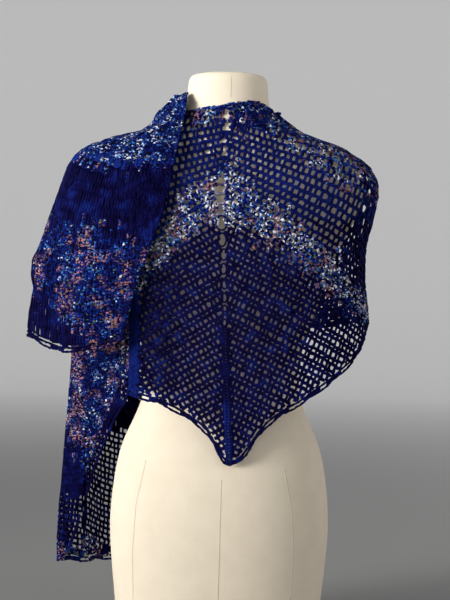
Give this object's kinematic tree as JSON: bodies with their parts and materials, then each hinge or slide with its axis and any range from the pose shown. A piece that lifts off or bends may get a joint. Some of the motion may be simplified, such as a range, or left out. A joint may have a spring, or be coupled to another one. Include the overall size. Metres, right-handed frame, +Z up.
{
  "type": "crocheted wrap on a dress form",
  "caption": "Three-cornered crocheted wrap with an open spine, a scalloped edge and one end thrown over the left shoulder, on a limbless dress form.",
  "frame": {"origin": "centre of the dress form's flat foot", "axes": "+Z up, the wearer's front along +Y and the wearer's right along +X"},
  "size_m": [0.5197, 0.2907, 0.8335],
  "materials": {
    "form_cover": "matt cream cotton cover",
    "navy_yarn": "matt navy openwork crochet",
    "speckled_yarn": "matt crochet, blue with white and coral flecks",
    "edging_yarn": "matt navy crochet edging"
  },
  "bodies": {
    "root": {"form_body": "form_cover", "wrap_back": "navy_yarn", "wrap_back_edging": "edging_yarn", "wrap_front": "navy_yarn", "wrap_front_edging": "edging_yarn", "wrap_left_wing": "speckled_yarn", "wrap_left_wing_edging": "edging_yarn", "wrap_thrown_end": "speckled_yarn", "wrap_thrown_end_edging": "edging_yarn"}
  },
  "joints": []
}
